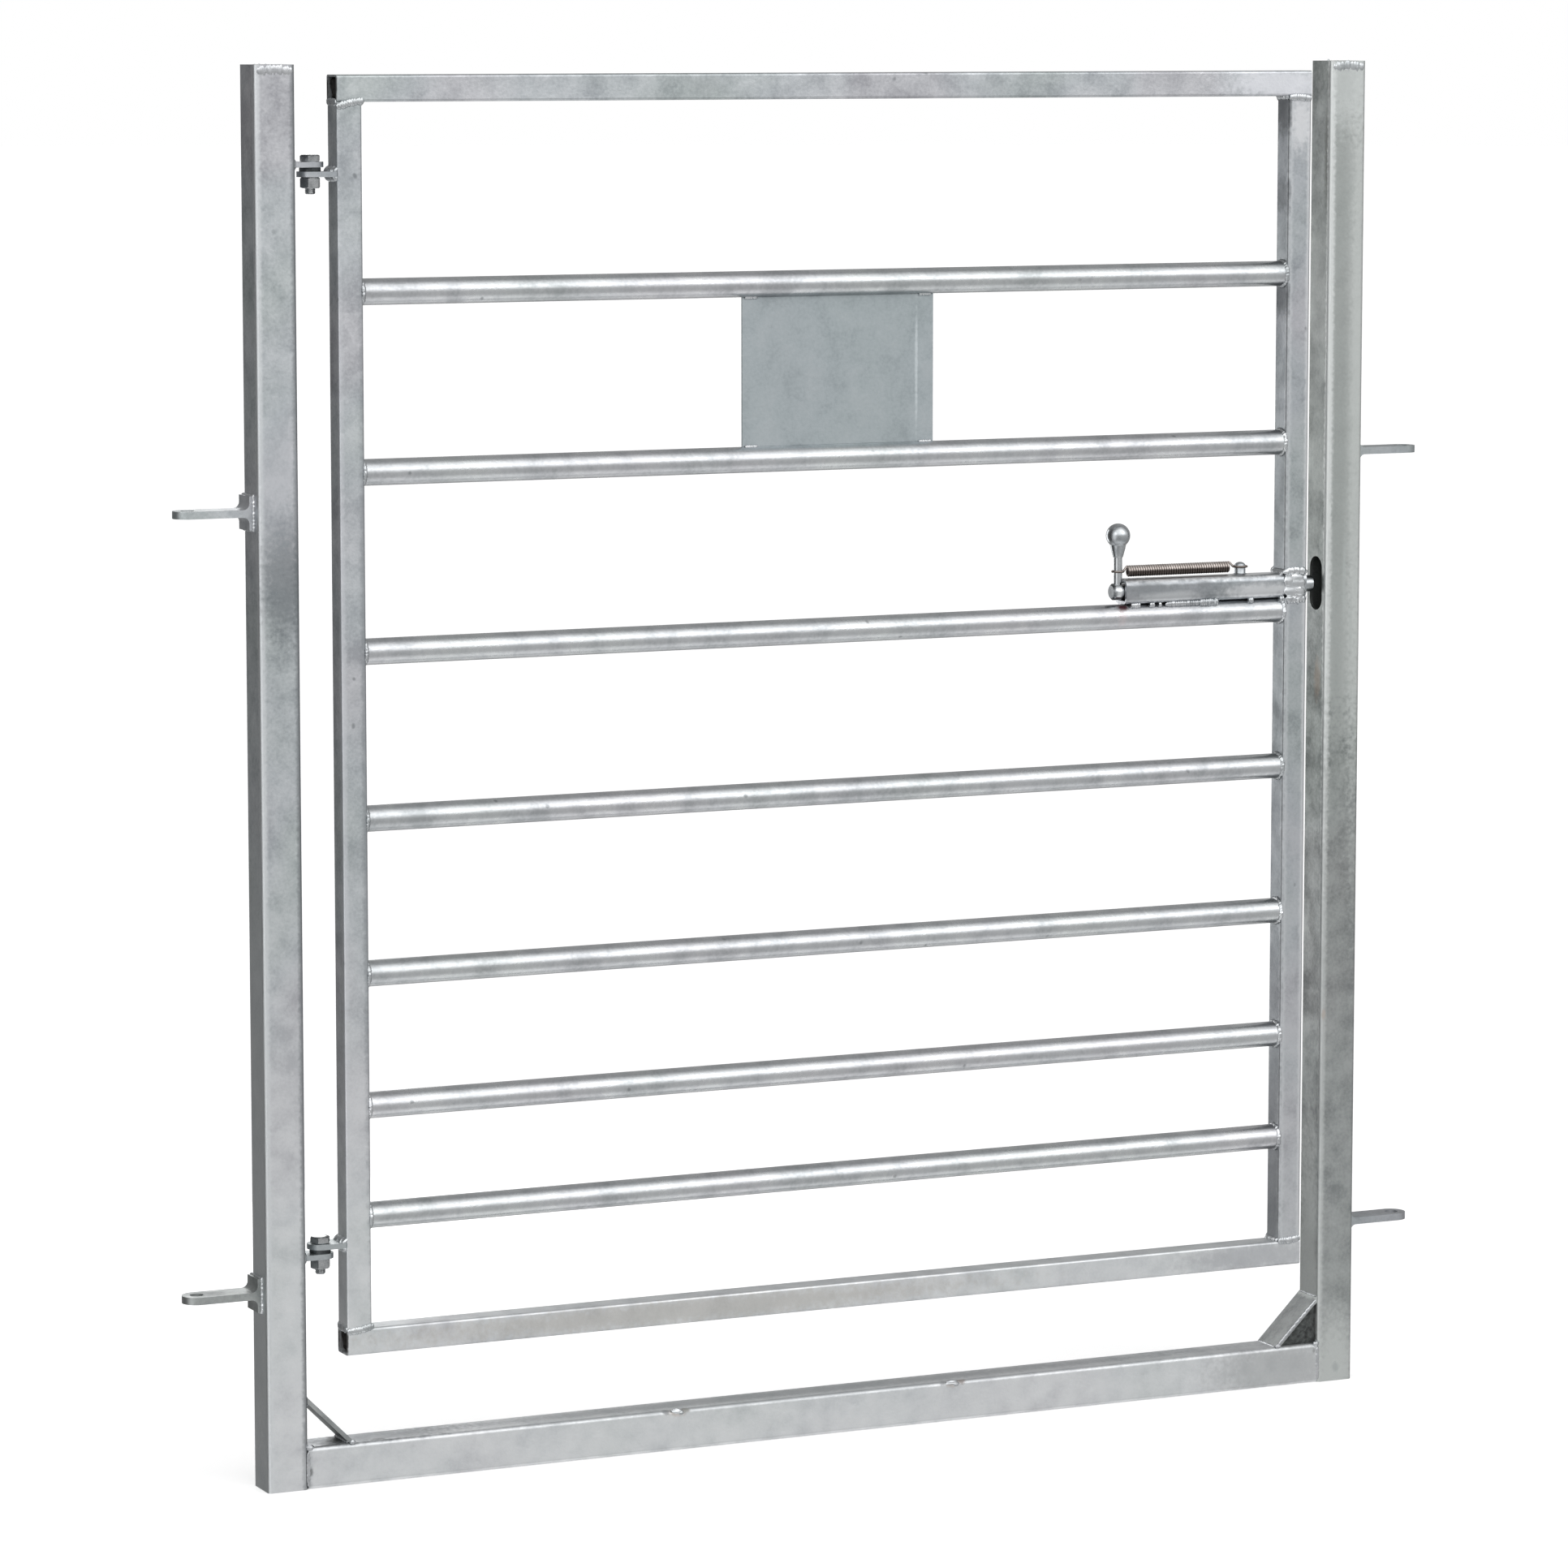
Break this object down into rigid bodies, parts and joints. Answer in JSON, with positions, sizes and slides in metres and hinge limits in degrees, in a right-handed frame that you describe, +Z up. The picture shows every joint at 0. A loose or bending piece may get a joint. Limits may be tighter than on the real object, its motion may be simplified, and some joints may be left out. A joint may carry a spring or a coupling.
{
  "type": "walk-through livestock gate",
  "caption": "Galvanised walk-through stock gate: square-tube frame with a sill, hung leaf of round rails, sprung bolt latch with a ball handle, and drop-pin link lugs on both posts.",
  "frame": {"origin": "middle of the ground sill's underside, midway between the posts' outer faces", "axes": "+Z up, +X along the gate from the hinge post to the latch post, -Y towards the viewer of the picture"},
  "size_m": [1.318, 0.04, 1.332],
  "materials": {
    "galvanised_tube": "hot-dip galvanised, mottled",
    "galvanised_rail": "hot-dip galvanised, smoother and brighter",
    "galvanised_plate": "hot-dip galvanised flat bar",
    "zinc_plated_fastener": "zinc plated",
    "sign_sheet": "plain galvanised sheet, bare",
    "spring_steel": "browned spring wire",
    "bright_zinc_latch": "bright zinc, worn smooth"
  },
  "bodies": {
    "gate_frame": {"hinge_post": "galvanised_tube", "latch_post": "galvanised_tube", "ground_sill": "galvanised_tube", "hinge_post_cap": "galvanised_tube", "latch_post_cap": "galvanised_tube", "hinge_corner_brace": "galvanised_plate", "latch_corner_brace": "galvanised_plate", "hinge_side_lower_link_lug": "galvanised_plate", "hinge_side_upper_link_lug": "galvanised_plate", "latch_side_lower_link_lug": "galvanised_plate", "latch_side_upper_link_lug": "galvanised_plate", "upper_post_lug": "galvanised_plate", "lower_post_lug": "galvanised_plate", "upper_hinge_bolt": "zinc_plated_fastener", "upper_hinge_nut": "zinc_plated_fastener", "lower_hinge_bolt": "zinc_plated_fastener", "lower_hinge_nut": "zinc_plated_fastener", "lower_hinge_washer": "zinc_plated_fastener"},
    "gate_leaf": {"leaf_top_rail": "galvanised_tube", "leaf_bottom_rail": "galvanised_tube", "hinge_stile": "galvanised_tube", "lower_latch_stile": "galvanised_tube", "upper_latch_stile": "galvanised_tube", "rail_1": "galvanised_rail", "rail_2": "galvanised_rail", "rail_3": "galvanised_rail", "rail_4": "galvanised_rail", "rail_5": "galvanised_rail", "rail_6": "galvanised_rail", "rail_7": "galvanised_rail", "upper_leaf_lug": "galvanised_plate", "upper_hinge_washer": "zinc_plated_fastener", "lower_leaf_lug": "galvanised_plate", "sign_plate": "sign_sheet", "latch_housing": "galvanised_tube", "spring_peg": "galvanised_tube", "latch_spring": "spring_steel"},
    "latch_bolt": {"latch_bolt": "bright_zinc_latch", "handle_stem": "bright_zinc_latch", "handle_knob": "bright_zinc_latch"}
  },
  "joints": [
    {"name": "leaf_swing", "type": "hinge", "parent": "gate_frame", "child": "gate_leaf", "pos_m": [-0.524, 0, 0.73], "axis": [0, 0, 1], "range_deg": [-98, 98]},
    {"name": "latch_slide", "type": "slide", "parent": "gate_leaf", "child": "latch_bolt", "axis": [1, 0, 0], "range_m": [0, 0.028], "deforming": ["latch_spring"]}
  ]
}
